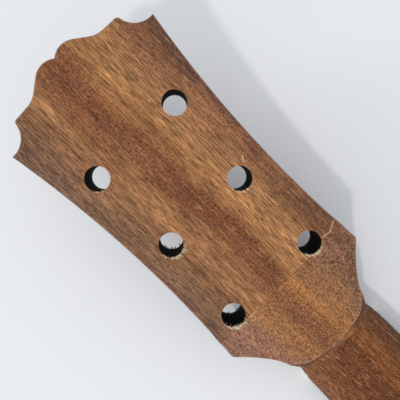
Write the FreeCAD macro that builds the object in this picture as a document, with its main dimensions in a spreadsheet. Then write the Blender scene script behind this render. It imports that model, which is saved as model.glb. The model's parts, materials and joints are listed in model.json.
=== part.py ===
import FreeCAD, Part
import os
import Sketcher
from FreeCAD import Placement, Rotation, Vector

# A six-string guitar neck, raw from the workshop, lying face down.
#
# Drawing frame: x = 0 at the nut's front face with +X towards the headstock's tip, z = 0 at the plane where
# the fretboard is glued on, and +Z through the wood to the neck's back.  Every finished piece is moved from
# there to the part's own frame, whose origin is the middle of the heel's mating face.
#
# Headstock frame: "along" runs from the nut's rear face up the headstock, "up" runs from the headstock's
# wooden face through its thickness, and the whole frame leans back by head_angle.

SIZES = {
    # scale and fretboard
    "scale_length": 628.65,
    "nut_width": 43.0,
    "board_end_width": 56.5,
    "board_length": 458.0,
    "board_thickness": 6.0,
    "board_radius": 304.8,
    # frets
    "slot_width": 0.58,
    "slot_depth": 2.0,
    "tang_width": 0.5,
    "tang_depth": 1.7,
    "crown_width": 2.6,
    "crown_height": 1.1,
    "crown_arc_radius": 1.35,
    "fret_end_inset": 0.5,
    # markers
    "inlay_radius": 3.0,
    "inlay_depth": 1.5,
    "inlay_pair_spacing": 22.0,
    "side_dot_radius": 1.0,
    "side_dot_depth": 3.0,
    "side_dot_drop": 2.2,
    # nut
    "nut_thickness": 5.0,
    "nut_edge_height": 7.5,
    "string_spacing": 7.0,
    "string_height": 7.1,
    # neck shaft and heel
    "shaft_set_in": 0.05,
    "shaft_depth_first": 13.6,
    "shaft_depth_last": 16.4,
    "shaft_back_end": 375.0,
    "heel_length": 76.0,
    "heel_depth": 19.0,
    "heel_center": 420.0,
    "heel_blend_radius": 45.0,
    "heel_blend_length": 36.4,
    "heel_screw_span_long": 51.0,
    "heel_screw_span_wide": 38.0,
    "heel_pilot_radius": 1.6,
    "heel_pilot_depth": 14.0,
    # truss rod
    "channel_width": 6.4,
    "channel_depth": 10.0,
    "channel_end": 442.0,
    "rod_radius": 2.5,
    "rod_height": 6.2,
    "rod_bore_radius": 2.55,
    "rod_back_end": 438.0,
    "rod_front_end": 9.0,
    "block_width": 6.0,
    "block_low": 0.3,
    "block_height": 9.4,
    "block_length": 12.0,
    "front_block_start": 8.0,
    "rear_block_start": 424.0,
    "return_bar_height": 3.0,
    "return_bar_gap": 2.5,
    "adjuster_radius": 4.0,
    "adjuster_length": 12.0,
    "socket_flats": 4.0,
    "socket_depth": 6.0,
    "pocket_start": 6.0,
    "pocket_center": 34.0,
    "pocket_radius": 5.5,
    "pocket_depth": 10.5,
    # headstock
    "head_angle": 14.0,
    "head_thickness": 13.8,
    "veneer_thickness": 1.2,
    "scarf_line": 43.75,
    "solid_from": 19.0,
    "bore_radius": 5.0,
    "bore_first": 48.5,
    "bore_pitch": 38.6,
    "bore_shift": 1.05,
    "bore_turn": 0.56,
    "bore_half_spacing_1": 21.3,
    "bore_half_spacing_2": 18.9,
    "bore_half_spacing_3": 20.9,
    # headstock outline, as places along the headstock and half widths
    "start_along": -6.0,
    "nut_side_along": -2.2,
    "waist_along": 3.0,
    "waist_half": 20.75,
    "throat_radius": 25.9,
    "shoulder_along": 23.5,
    "shoulder_half": 24.7,
    "shoulder_radius": 85.0,
    "corner_start_along": 35.4,
    "corner_start_half": 34.75,
    "corner_radius": 2.0,
    "corner_end_along": 36.9,
    "corner_end_half": 35.27,
    "side_radius": 480.0,
    "tip_corner_along": 154.3,
    "tip_corner_half": 38.0,
    "scallop_radius": 9.2,
    "scallop_end_along": 162.0,
    "scallop_end_half": 27.9,
    "ear_radius": 2.2,
    "ear_end_along": 162.9,
    "ear_end_half": 25.6,
    "flat_end_along": 163.2,
    "flat_end_half": 20.5,
    "cove_radius": 10.0,
    "cove_end_along": 165.0,
    "cove_end_half": 15.0,
    "lobe_start_along": 168.8,
    "lobe_start_half": 9.6,
    "lobe_radius": 8.4,
    "notch_along": 168.4,
}

# The flare from the round neck into the volute: (place, half width, depth) of each half-elliptical section.
FLARE = [
    (3.0, 21.45, 13.7),
    (5.0, 20.85, 13.75),
    (7.0, 20.6, 13.95),
    (8.8, 20.75, 14.5),
    (9.8, 20.95, 15.0),
    (10.5, 21.2, 15.7),
    (11.0, 21.6, 16.8),
    (11.7, 22.2, 18.6),
    (12.4, 23.0, 20.2),
    (13.6, 24.0, 21.9),
    (15.4, 26.0, 23.3),
    (17.0, 29.0, 24.4),
    (20.0, 36.0, 27.0),
    (24.0, 43.0, 30.5),
    (29.0, 50.0, 35.0),
]

FRET_COUNT = 22
DOT_FRETS = (3, 5, 7, 9, 12, 15, 17, 19, 21)
OCTAVE_FRET = 12
STRING_SLOT_WIDTHS = (1.24, 0.97, 0.71, 0.48, 0.38, 0.30)

doc = FreeCAD.newDocument("guitar_neck")
sizes = doc.addObject("Spreadsheet::Sheet", "sizes")
sub_parts = []


def write_cell(row, alias, value):
    sizes.set(f"A{row}", alias)
    sizes.set(f"B{row}", str(value))
    sizes.setAlias(f"B{row}", alias)


def fill_sheet():
    row = 0
    for alias, value in SIZES.items():
        row += 1
        write_cell(row, alias, value)
    for number, section in enumerate(FLARE, start=1):
        for word, value in zip(("place", "half", "depth"), section):
            row += 1
            write_cell(row, f"flare_{word}_{number}", value)
    doc.recompute()


def cell(alias):
    return f"sizes.{alias}"


def value_of(expression):
    """The number that an expression on the sheet gives now."""
    return float(sizes.evalExpression(expression))


def bind(obj, **expressions):
    for name, expression in expressions.items():
        obj.setExpression(name, str(expression))


def locate(obj, x="0", y="0", z="0"):
    """Binds an object's place in the drawing frame."""
    for name, expression in zip("xyz", (x, y, z)):
        obj.setExpression(f"Placement.Base.{name}", str(expression))


def locate_on_head(obj, along, across="0", up="0"):
    """Binds an object's place in the headstock frame, leaning back with it."""
    obj.Placement = Placement(Vector(), Rotation(Vector(0, 1, 0), -SIZES["head_angle"]))
    obj.setExpression("Placement.Rotation.Angle", "-sizes.head_angle")
    lean = "sizes.head_angle"
    locate(
        obj,
        f"sizes.nut_thickness + ({along}) * cos({lean}) - ({up}) * sin({lean})",
        across,
        f"({along}) * sin({lean}) + ({up}) * cos({lean})",
    )


def box(name, length, width, height):
    solid = doc.addObject("Part::Box", name)
    bind(solid, Length=length, Width=width, Height=height)
    return solid


def cylinder(name, radius, height):
    solid = doc.addObject("Part::Cylinder", name)
    bind(solid, Radius=radius, Height=height)
    return solid


def boolean(kind, name, base, tool):
    solid = doc.addObject(f"Part::{kind}", name)
    solid.Base = base
    solid.Tool = tool
    return solid


def gather(kind, name, solids):
    """Fuses solids (MultiFuse) or only groups them as one tool (Compound)."""
    group = doc.addObject(f"Part::{kind}", name)
    if kind == "Compound":
        group.Links = solids
    else:
        group.Shapes = solids
    return group


def extrude(name, sketch, length, backwards=False):
    solid = doc.addObject("Part::Extrusion", name)
    solid.Base = sketch
    solid.DirMode = "Normal"
    solid.Solid = True
    bind(solid, **{"LengthRev" if backwards else "LengthFwd": length})
    return solid


def finish(obj, label, x="0", y="0", z="0"):
    """Moves a finished piece from the drawing frame to the part's frame, and names it."""
    locate(obj, f"sizes.heel_center + ({x})", y, f"({z}) - sizes.heel_depth")
    obj.Label = label
    sub_parts.append(obj)


def half_width(distance):
    """Half the fretboard's width at a distance behind the nut."""
    widening = "(sizes.board_end_width - sizes.nut_width) / 2 / sizes.board_length"
    return f"(sizes.nut_width / 2 + {widening} * ({distance}))"


def fret_distance(number):
    """A fret's distance behind the nut, from the equal-tempered scale."""
    return f"(sizes.scale_length * (1 - 2 ^ (-{number} / 12)))"


def between_frets(number):
    return f"(({fret_distance(number - 1)} + {fret_distance(number)}) / 2)"


# ---- sketches -------------------------------------------------------------------------------------------


def arc_middle(start, end, radius, bulge):
    """The middle of an arc from start to end; bulge +1 puts it left of that direction, -1 right."""
    chord = end - start
    half = chord.Length / 2
    rise = radius - (radius**2 - half**2) ** 0.5
    left = Vector(-chord.y, chord.x, 0).normalize()
    return (start + end) / 2 + left * rise * bulge


def closed_profile(sketch, corners, arcs=None):
    """Draws a closed profile whose corners are pairs of expressions, each corner bound to the sheet.

    arcs maps the number of an edge to (radius expression, bulge); the other edges are straight.
    """
    arcs = arcs or {}
    points = [Vector(value_of(x), value_of(y), 0) for x, y in corners]
    ends = []
    for number, start in enumerate(points):
        end = points[(number + 1) % len(points)]
        if number in arcs:
            radius, bulge = arcs[number]
            middle = arc_middle(start, end, value_of(radius), bulge)
            edge = sketch.addGeometry(Part.Arc(start, middle, end))
            ends.append((1, 2) if bulge < 0 else (2, 1))
            index = sketch.addConstraint(Sketcher.Constraint("Radius", edge, value_of(radius)))
            sketch.setExpression(f"Constraints[{index}]", radius)
        else:
            sketch.addGeometry(Part.LineSegment(start, end))
            ends.append((1, 2))
    count = len(points)
    for number, (x, y) in enumerate(corners):
        following = (number + 1) % count
        joint = (number, ends[number][1], following, ends[following][0])
        sketch.addConstraint(Sketcher.Constraint("Coincident", *joint))
        start = (number, ends[number][0])
        for kind, expression in (("DistanceX", x), ("DistanceY", y)):
            distance = value_of(expression)
            index = sketch.addConstraint(Sketcher.Constraint(kind, -1, 1, *start, distance))
            sketch.setExpression(f"Constraints[{index}]", expression)


def new_body(name):
    return doc.addObject("PartDesign::Body", name)


def body_sketch(body, name, plane):
    sketch = body.newObject("Sketcher::SketchObject", name)
    base = [item for item in body.Origin.OriginFeatures if item.Role == plane][0]
    sketch.AttachmentSupport = (base, [""])
    sketch.MapMode = "FlatFace"
    return sketch


def pad(body, sketch, length, reversed_way=False):
    feature = body.newObject("PartDesign::Pad", f"{body.Name}_pad")
    feature.Profile = sketch
    feature.Reversed = reversed_way
    bind(feature, Length=length)
    return feature


def pocket(body, sketch, length, reversed_way=False):
    """Cuts a pocket and makes sure that it took material away."""
    doc.recompute()
    before = body.Shape.Volume
    feature = body.newObject("PartDesign::Pocket", f"{body.Name}_pocket")
    feature.Profile = sketch
    feature.Reversed = reversed_way
    bind(feature, Length=length)
    doc.recompute()
    if body.Shape.Volume > before - 0.01:
        raise RuntimeError(f"{body.Name}: the pocket cuts nothing")
    return feature


def circle(sketch, radius, x="0", y="0"):
    center = Vector(value_of(x), value_of(y), 0)
    edge = sketch.addGeometry(Part.Circle(center, Vector(0, 0, 1), value_of(radius)))
    index = sketch.addConstraint(Sketcher.Constraint("Radius", edge, value_of(radius)))
    sketch.setExpression(f"Constraints[{index}]", radius)
    for kind, expression in (("DistanceX", x), ("DistanceY", y)):
        distance = value_of(expression)
        index = sketch.addConstraint(Sketcher.Constraint(kind, -1, 1, edge, 3, distance))
        sketch.setExpression(f"Constraints[{index}]", expression)


# ---- headstock ------------------------------------------------------------------------------------------


def headstock_outline():
    """The headstock seen from its back: both halves from one list, the second half mirrored."""
    half = [
        ("sizes.start_along", "sizes.nut_width / 2"),
        ("sizes.nut_side_along", "sizes.nut_width / 2"),
        ("sizes.waist_along", "sizes.waist_half"),
        ("sizes.shoulder_along", "sizes.shoulder_half"),
        ("sizes.corner_start_along", "sizes.corner_start_half"),
        ("sizes.corner_end_along", "sizes.corner_end_half"),
        ("sizes.tip_corner_along", "sizes.tip_corner_half"),
        ("sizes.scallop_end_along", "sizes.scallop_end_half"),
        ("sizes.ear_end_along", "sizes.ear_end_half"),
        ("sizes.flat_end_along", "sizes.flat_end_half"),
        ("sizes.cove_end_along", "sizes.cove_end_half"),
        ("sizes.lobe_start_along", "sizes.lobe_start_half"),
    ]
    half_arcs = {
        2: ("sizes.throat_radius", -1),
        3: ("sizes.shoulder_radius", -1),
        4: ("sizes.corner_radius", 1),
        5: ("sizes.side_radius", -1),
        6: ("sizes.scallop_radius", -1),
        7: ("sizes.ear_radius", 1),
        9: ("sizes.cove_radius", -1),
        11: ("sizes.lobe_radius", 1),
    }
    notch = [("sizes.notch_along", "0")]
    mirrored = [(along, f"-({across})") for along, across in reversed(half)]
    last_edge = 2 * len(half) - 1
    arcs = dict(half_arcs)
    for number, (radius, bulge) in half_arcs.items():
        arcs[last_edge - number] = (radius, bulge)
    sketch = doc.addObject("Sketcher::SketchObject", "headstock_outline")
    closed_profile(sketch, half + notch + mirrored, arcs)
    locate_on_head(sketch, "0")
    return sketch


def bores():
    """The six machine-head bores, square to the headstock and right through it.

    Their template was laid on by hand: bore_shift off the middle, and turned by bore_turn.
    """
    cutters = []
    turn = "sizes.bore_turn"
    for row in range(3):
        for side in (-1, 1):
            cutter = cylinder(f"bore_{row + 1}_{'bass' if side < 0 else 'treble'}", "sizes.bore_radius", 24)
            distance = f"{row} * sizes.bore_pitch"
            offset = f"{side} * sizes.bore_half_spacing_{row + 1}"
            along = f"sizes.bore_first + {distance} * cos({turn}) + {offset} * sin({turn})"
            across = f"sizes.bore_shift - {distance} * sin({turn}) + {offset} * cos({turn})"
            locate_on_head(cutter, along, across, "-5")
            cutters.append(cutter)
    return gather("Compound", "bores", cutters)


def adjuster_pocket():
    """The round-ended pocket in the headstock's face, where the truss rod is adjusted."""
    start = "sizes.pocket_start"
    trough = box("pocket_trough", f"sizes.pocket_center - {start}", "2 * sizes.pocket_radius", "20")
    locate(trough, start, "-sizes.pocket_radius", "sizes.pocket_depth - 20")
    end = cylinder("pocket_end", "sizes.pocket_radius", "20")
    locate(end, "sizes.pocket_center", "0", "sizes.pocket_depth - 20")
    return gather("MultiFuse", "adjuster_pocket", [trough, end])


# ---- mahogany -------------------------------------------------------------------------------------------


def section(name, place, half, depth):
    ellipse = doc.addObject("Part::Ellipse", name)
    across_up_along = Rotation(Vector(0, 1, 0), Vector(0, 0, 1), Vector(1, 0, 0))
    ellipse.Placement = Placement(Vector(), across_up_along)
    bind(ellipse, MajorRadius=half, MinorRadius=depth)
    locate(ellipse, place)
    return ellipse


def loft(name, sections):
    """A solid with straight sides from each section to the next."""
    solid = doc.addObject("Part::Loft", name)
    solid.Sections = sections
    solid.Solid = True
    solid.Ruled = True
    return solid


def round_shaft():
    """The tapering round of the neck; its lower half is cut away at the fretboard plane later."""
    set_in = "sizes.shaft_set_in"
    stations = [
        ("shaft_back", "sizes.shaft_back_end", "sizes.shaft_depth_last"),
        ("shaft_first_fret", "9", "sizes.shaft_depth_first"),
        ("shaft_nut", "3", "sizes.shaft_depth_first"),
    ]
    sections = [
        section(name, f"-{distance}", f"{half_width(distance)} - {set_in}", depth)
        for name, distance, depth in stations
    ]
    sections.append(section("shaft_front", cell("flare_place_1"), cell("flare_half_1"), cell("flare_depth_1")))
    return loft("round_shaft", sections)


def flare():
    sections = [
        section(f"flare_{number}", *(cell(f"flare_{word}_{number}") for word in ("place", "half", "depth")))
        for number in range(1, len(FLARE) + 1)
    ]
    return loft("flare", sections)


def plan_taper(name, far, near):
    """The fretboard's tapering plan between two distances behind the nut, as a sketch on z = 0."""
    sketch = doc.addObject("Sketcher::SketchObject", name)
    corners = [
        (f"-({near})", half_width(near)),
        (f"-({far})", half_width(far)),
        (f"-({far})", f"-{half_width(far)}"),
        (f"-({near})", f"-{half_width(near)}"),
    ]
    closed_profile(sketch, corners)
    return sketch


def heel():
    """The square heel, which a hollow curve joins to the round of the neck."""
    flat_front = "sizes.board_length - sizes.heel_length"
    near = f"({flat_front} - sizes.heel_blend_length)"
    block = extrude("heel_block", plan_taper("heel_plan", "sizes.board_length", near), "sizes.heel_depth")
    hollow = cylinder("heel_hollow", "sizes.heel_blend_radius", "100")
    hollow.Placement = Placement(Vector(), Rotation(Vector(1, 0, 0), 90))
    locate(hollow, f"-{near}", "50", "sizes.heel_blend_radius + 0.5")
    return boolean("Cut", "heel", block, hollow)


def heel_pilots():
    cutters = []
    for number, (way, side) in enumerate(((-1, -1), (-1, 1), (1, -1), (1, 1)), start=1):
        pilot = cylinder(f"pilot_{number}", "sizes.heel_pilot_radius", "sizes.heel_pilot_depth + 1")
        locate(
            pilot,
            f"-sizes.heel_center + {way} * sizes.heel_screw_span_long / 2",
            f"{side} * sizes.heel_screw_span_wide / 2",
            "sizes.heel_depth - sizes.heel_pilot_depth",
        )
        cutters.append(pilot)
    return cutters


def rod_channel():
    length = "sizes.channel_end + sizes.pocket_start + 1"
    channel = box("rod_channel", length, "sizes.channel_width", "sizes.channel_depth + 5")
    locate(channel, "-sizes.channel_end", "-sizes.channel_width / 2", "-5")
    return channel


def mahogany(outline, bore_tools, pocket_tool):
    """The neck's wood as one shape, then sawn into its two pieces along the scarf plane."""
    plate = extrude("head_plate", outline, "sizes.head_thickness")
    solid_head = box("solid_head", "200", "120", "60")
    locate_on_head(solid_head, "sizes.solid_from", "-60", "-20")
    head_limits = gather("MultiFuse", "head_limits", [flare(), solid_head])
    head = boolean("Common", "head", plate, head_limits)
    whole = gather("MultiFuse", "whole_neck", [round_shaft(), heel(), head])

    below_board = box("below_board", "600", "120", "60")
    locate(below_board, "-500", "-60", "-60")
    shaped = boolean("Cut", "shaped_neck", whole, below_board)
    tools = gather("Compound", "neck_tools", [rod_channel(), *heel_pilots()])
    drilled = boolean("Cut", "drilled_neck", shaped, tools)
    opened = boolean("Cut", "opened_neck", drilled, pocket_tool)
    bored = boolean("Cut", "bored_neck", opened, bore_tools)

    above_scarf = box("above_scarf", "300", "120", "60")
    scarf = "sizes.scarf_line * sin(sizes.head_angle) + sizes.head_thickness * cos(sizes.head_angle)"
    locate(above_scarf, "-50", "-60", scarf)
    finish(boolean("Cut", "neck_shaft", bored, above_scarf), "neck_shaft")
    finish(boolean("Common", "headstock_board", bored, above_scarf), "headstock_board")


def veneer(outline, bore_tools, pocket_tool):
    sheet = extrude("veneer_sheet", outline, "sizes.veneer_thickness", backwards=True)
    behind_nut = box("behind_nut", "60", "120", "60")
    locate(behind_nut, "sizes.nut_thickness - 60", "-60", "-30")
    trimmed = boolean("Cut", "veneer_trimmed", sheet, behind_nut)
    opened = boolean("Cut", "veneer_opened", trimmed, pocket_tool)
    finish(boolean("Cut", "headstock_veneer", opened, bore_tools), "headstock_veneer")


# ---- fretboard ------------------------------------------------------------------------------------------


def radius_cylinder(name, radius):
    """A cylinder along the neck, about the axis of the fretboard's curved face."""
    solid = cylinder(name, radius, "sizes.board_length")
    solid.Placement = Placement(Vector(), Rotation(Vector(0, 1, 0), 90))
    locate(solid, "-sizes.board_length", "0", "sizes.board_radius - sizes.board_thickness")
    return solid


def board_blank():
    plan = plan_taper("board_plan", "sizes.board_length", "0")
    slab = extrude("board_slab", plan, "sizes.board_thickness", backwards=True)
    return boolean("Common", "board_blank", slab, radius_cylinder("board_face", "sizes.board_radius"))


def slot_tools():
    cutters = []
    for number in range(1, FRET_COUNT + 1):
        cutter = box(f"slot_{number:02d}", "sizes.slot_width", "80", "12")
        locate(cutter, f"-{fret_distance(number)} - sizes.slot_width / 2", "-40", "-10")
        cutters.append(cutter)
    core = radius_cylinder("slot_floor", "sizes.board_radius - sizes.slot_depth")
    return boolean("Cut", "slot_tools", gather("Compound", "slot_saws", cutters), core)


def inlay_places():
    """Name, place and offset of each face dot: one in the middle, two at the octave."""
    for number in DOT_FRETS:
        if number == OCTAVE_FRET:
            yield f"inlay_dot_{number:02d}_bass", number, "-sizes.inlay_pair_spacing / 2"
            yield f"inlay_dot_{number:02d}_treble", number, "sizes.inlay_pair_spacing / 2"
        else:
            yield f"inlay_dot_{number:02d}", number, "0"


def side_dot_places():
    """Name, place and shift of each side dot on the bass edge: two side by side at the octave."""
    for number in DOT_FRETS:
        if number == OCTAVE_FRET:
            yield f"side_dot_{number:02d}_lower", number, "3"
            yield f"side_dot_{number:02d}_upper", number, "-3"
        else:
            yield f"side_dot_{number:02d}", number, "0"


def fretboard():
    blank = board_blank()
    holes = []
    for name, number, across in inlay_places():
        hole = cylinder(f"{name}_hole", "sizes.inlay_radius", "sizes.inlay_depth + 1")
        locate(hole, f"-{between_frets(number)}", across, "-sizes.board_thickness - 1")
        holes.append(hole)
        finish(boolean("Common", name, hole, blank), name)
    for name, number, shift in side_dot_places():
        hole = cylinder(f"{name}_hole", "sizes.side_dot_radius", "sizes.side_dot_depth + 2")
        hole.Placement = Placement(Vector(), Rotation(Vector(1, 0, 0), 90))
        place = f"{between_frets(number)} + {shift}"
        edge = f"-{half_width(place)} + sizes.side_dot_depth"
        locate(hole, f"-({place})", edge, "-sizes.side_dot_drop")
        holes.append(hole)
        finish(boolean("Common", name, hole, blank), name)
    slotted = boolean("Cut", "slotted_board", blank, slot_tools())
    finish(boolean("Cut", "fretboard", slotted, gather("Compound", "dot_holes", holes)), "fretboard")


def fret(number):
    """One fret: its tang and crown in section, turned through the fretboard's curve."""
    name = f"fret_{number:02d}"
    body = new_body(name)
    sketch = body_sketch(body, f"{name}_section", "XZ_Plane")
    tang = "sizes.tang_width / 2"
    crown = "sizes.crown_width / 2"
    face = "-sizes.board_radius"
    root = f"{face} + sizes.tang_depth"
    top = f"{face} - sizes.crown_height"
    flat = "0.35"
    corners = [
        (f"-{tang}", root),
        (f"-{tang}", face),
        (f"-{crown}", face),
        (f"-{flat}", top),
        (flat, top),
        (crown, face),
        (tang, face),
        (tang, root),
    ]
    shoulder = "sizes.crown_arc_radius"
    closed_profile(sketch, corners, {2: (shoulder, -1), 4: (shoulder, -1)})
    bend = body.newObject("PartDesign::Revolution", f"{name}_bend")
    bend.Profile = sketch
    bend.ReferenceAxis = (sketch, ["H_Axis"])
    bend.Midplane = True
    distance = fret_distance(number)
    bind(bend, Angle=f"2 * asin(({half_width(distance)} - sizes.fret_end_inset) / sizes.board_radius)")
    finish(body, name, f"-{distance}", "0", "sizes.board_radius - sizes.board_thickness")


def nut():
    body = new_body("nut")
    sketch = body_sketch(body, "nut_front", "YZ_Plane")
    half = "sizes.nut_width / 2"
    edge = "-sizes.nut_edge_height"
    corners = [(half, "0"), (half, edge), (f"-{half}", edge), (f"-{half}", "0")]
    closed_profile(sketch, corners, {1: ("sizes.board_radius", 1)})
    pad(body, sketch, "sizes.nut_thickness")
    slots = body_sketch(body, "string_slots", "YZ_Plane")
    last = len(STRING_SLOT_WIDTHS) - 1
    for number, width in enumerate(STRING_SLOT_WIDTHS):
        across = f"sizes.string_spacing * ({number} - {last} / 2)"
        floor = f"-sizes.string_height + ({across}) ^ 2 / (2 * sizes.board_radius)"
        string_slot(slots, across, floor, width)
    pocket(body, slots, "sizes.nut_thickness", reversed_way=True)
    finish(body, "nut")


def string_slot(sketch, across, floor, width):
    """One slot of the nut, a narrow oblong open at the nut's top."""
    first = sketch.GeometryCount
    corners = [
        (f"{across} - {width} / 2", floor),
        (f"{across} + {width} / 2", floor),
        (f"{across} + {width} / 2", "-12"),
        (f"{across} - {width} / 2", "-12"),
    ]
    points = [Vector(value_of(x), value_of(y), 0) for x, y in corners]
    for number in range(4):
        sketch.addGeometry(Part.LineSegment(points[number], points[(number + 1) % 4]))
    for number, (x, y) in enumerate(corners):
        edge = first + number
        following = first + (number + 1) % 4
        sketch.addConstraint(Sketcher.Constraint("Coincident", edge, 2, following, 1))
        for kind, expression in (("DistanceX", x), ("DistanceY", y)):
            distance = value_of(expression)
            index = sketch.addConstraint(Sketcher.Constraint(kind, -1, 1, edge, 1, distance))
            sketch.setExpression(f"Constraints[{index}]", expression)


# ---- truss rod ------------------------------------------------------------------------------------------


def truss_rod():
    body = new_body("truss_rod")
    sketch = body_sketch(body, "rod_round", "YZ_Plane")
    circle(sketch, "sizes.rod_radius")
    pad(body, sketch, "sizes.rod_back_end + sizes.rod_front_end")
    finish(body, "truss_rod", "-sizes.rod_back_end", "0", "sizes.rod_height")


def adjuster():
    """The socket-headed adjuster on the rod's front end."""
    body = new_body("adjuster_nut")
    sketch = body_sketch(body, "adjuster_round", "YZ_Plane")
    circle(sketch, "sizes.adjuster_radius")
    pad(body, sketch, "sizes.adjuster_length")
    socket = body_sketch(body, "adjuster_socket", "YZ_Plane")
    bind(socket, **{"AttachmentOffset.Base.z": "sizes.adjuster_length"})
    corner = "sizes.socket_flats / sqrt(3)"
    hexagon = [(f"{corner} * cos({60 * number})", f"{corner} * sin({60 * number})") for number in range(6)]
    closed_profile(socket, hexagon)
    pocket(body, socket, "sizes.socket_depth")
    finish(body, "adjuster_nut", "sizes.rod_front_end", "0", "sizes.rod_height")


def rod_block(name, front):
    """An end block of the rod, bored for it; front is its front face's distance behind the nut."""
    body = new_body(name)
    sketch = body_sketch(body, f"{name}_end", "YZ_Plane")
    half = "sizes.block_width / 2"
    top = "sizes.block_low + sizes.block_height"
    closed_profile(sketch, [(half, "sizes.block_low"), (half, top), (f"-{half}", top), (f"-{half}", "sizes.block_low")])
    pad(body, sketch, "sizes.block_length")
    hole = body_sketch(body, f"{name}_bore", "YZ_Plane")
    circle(hole, "sizes.rod_bore_radius", "0", "sizes.rod_height")
    pocket(body, hole, "sizes.block_length", reversed_way=True)
    finish(body, name, f"-({front}) - sizes.block_length")


def return_bar():
    """The flat bar over the rod, from the front block to just short of the rear block."""
    body = new_body("return_bar")
    sketch = body_sketch(body, "bar_end", "YZ_Plane")
    half = "sizes.block_width / 2"
    low = "sizes.block_low"
    top = "sizes.block_low + sizes.return_bar_height"
    closed_profile(sketch, [(half, low), (half, top), (f"-{half}", top), (f"-{half}", low)])
    front = "sizes.front_block_start + sizes.block_length"
    back = "sizes.rear_block_start - sizes.return_bar_gap"
    pad(body, sketch, f"({back}) - ({front})")
    finish(body, "return_bar", f"-({back})")


# ---- build, check and write -----------------------------------------------------------------------------


def check_document():
    doc.recompute()
    for obj in doc.Objects:
        if "Invalid" in obj.State or "Error" in obj.State:
            raise RuntimeError(f"{obj.Name} failed: {obj.State}")
    for obj in sub_parts:
        if obj.Shape.isNull() or not obj.Shape.isValid():
            raise RuntimeError(f"{obj.Label} has no valid shape")


def write_parts():
    os.makedirs("parts", exist_ok=True)
    for obj in sub_parts:
        obj.Shape.exportStep(f"parts/{obj.Label}.step")
        print(f"{obj.Label}: {len(obj.Shape.Solids)} solid, {obj.Shape.Volume:.1f} mm3")


fill_sheet()
outline_sketch = headstock_outline()
bore_set = bores()
pocket_set = adjuster_pocket()
mahogany(outline_sketch, bore_set, pocket_set)
veneer(outline_sketch, bore_set, pocket_set)
fretboard()
for fret_number in range(1, FRET_COUNT + 1):
    fret(fret_number)
nut()
truss_rod()
adjuster()
rod_block("front_block", "sizes.front_block_start")
rod_block("rear_block", "sizes.rear_block_start")
return_bar()
check_document()
write_parts()
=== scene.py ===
# %% [markdown]
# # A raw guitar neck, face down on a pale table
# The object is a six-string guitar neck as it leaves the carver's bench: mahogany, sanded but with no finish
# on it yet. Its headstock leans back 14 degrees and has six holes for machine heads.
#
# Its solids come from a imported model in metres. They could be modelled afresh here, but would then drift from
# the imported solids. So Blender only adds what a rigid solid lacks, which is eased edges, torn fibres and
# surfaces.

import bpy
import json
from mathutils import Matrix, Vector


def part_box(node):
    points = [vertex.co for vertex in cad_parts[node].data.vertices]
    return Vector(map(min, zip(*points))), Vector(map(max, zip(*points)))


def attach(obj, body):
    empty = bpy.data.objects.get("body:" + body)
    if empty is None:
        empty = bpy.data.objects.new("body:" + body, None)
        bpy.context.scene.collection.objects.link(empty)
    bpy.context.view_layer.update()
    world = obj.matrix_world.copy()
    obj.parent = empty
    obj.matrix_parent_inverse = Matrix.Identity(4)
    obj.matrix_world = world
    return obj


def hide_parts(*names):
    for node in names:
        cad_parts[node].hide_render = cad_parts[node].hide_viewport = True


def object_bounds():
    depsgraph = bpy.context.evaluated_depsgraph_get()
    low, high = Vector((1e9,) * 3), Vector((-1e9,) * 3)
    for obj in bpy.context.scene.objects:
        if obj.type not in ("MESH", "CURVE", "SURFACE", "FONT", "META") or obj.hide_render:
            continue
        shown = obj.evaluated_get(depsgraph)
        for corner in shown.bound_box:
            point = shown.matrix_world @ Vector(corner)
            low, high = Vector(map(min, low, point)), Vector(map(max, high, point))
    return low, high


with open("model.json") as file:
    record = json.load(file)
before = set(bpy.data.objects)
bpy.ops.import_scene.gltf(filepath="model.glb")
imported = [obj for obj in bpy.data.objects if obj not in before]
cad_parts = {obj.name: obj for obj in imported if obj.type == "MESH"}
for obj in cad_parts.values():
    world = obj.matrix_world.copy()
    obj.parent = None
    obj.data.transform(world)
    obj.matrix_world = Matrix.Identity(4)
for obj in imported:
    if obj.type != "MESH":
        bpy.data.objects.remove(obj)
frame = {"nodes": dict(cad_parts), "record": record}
cad_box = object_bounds()
print("CAD box:", [[round(value, 4) for value in corner] for corner in cad_box])

# %% [markdown]
# ## The headstock's own directions
# A maker sets the machine heads out along the headstock, which leans away from the neck. The record says
# where each bore is and which way it runs. The six together give the headstock's directions: up it towards
# the tip, across it towards the bass side, and straight out of its back. The 14 degrees could be typed in
# instead, but directions read from the bores follow the model if it changes.

# %% Directions from the bores
import math

from mathutils import Matrix, Vector

MM = 0.001  # lengths are in metres, so a millimetre gets a name of its own
mounts = {mount["name"]: mount for mount in frame["record"]["mounts"]}
bores = [mount for name, mount in mounts.items() if name.startswith("machine_head_bore")]


def bore_middle(row):
    """The place midway between the two bores of a row."""
    pair = [Vector(mounts[f"machine_head_bore_{row}_{side}"]["pos_m"]) for side in ("bass", "treble")]
    return (pair[0] + pair[1]) / 2


back_normal = Vector(bores[0]["axis"]).normalized()
head_up = (bore_middle(3) - bore_middle(1)).normalized()
head_across = head_up.cross(back_normal)
lean = math.atan2(-back_normal.x, back_normal.z)
print("headstock leans", round(math.degrees(lean), 2), "degrees")

# %% [markdown]
# ## Places on the headstock
# The back of the headstock is flat, so a place on it is two numbers, as on squared paper, and a third says
# how deep it lies in the wood. A tilted empty could carry that frame as a parent, but a finished piece has to
# sit unturned at the origin. Two small functions work the places out instead.

# %% Places on the headstock
bore_radius = bores[0]["dims"]["r_mm"] * MM
plate = bores[0]["dims"]["length_mm"] * MM
head_origin = bore_middle(1) + back_normal * plate / 2


def head_direction(along, across, depth):
    return (head_up * along + head_across * across - back_normal * depth).normalized()


def head_point(along, across, depth=0.0):
    """A place in millimetres from the first pair of bores, on the headstock's back."""
    return head_origin + (head_up * along + head_across * across - back_normal * depth) * MM


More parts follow.
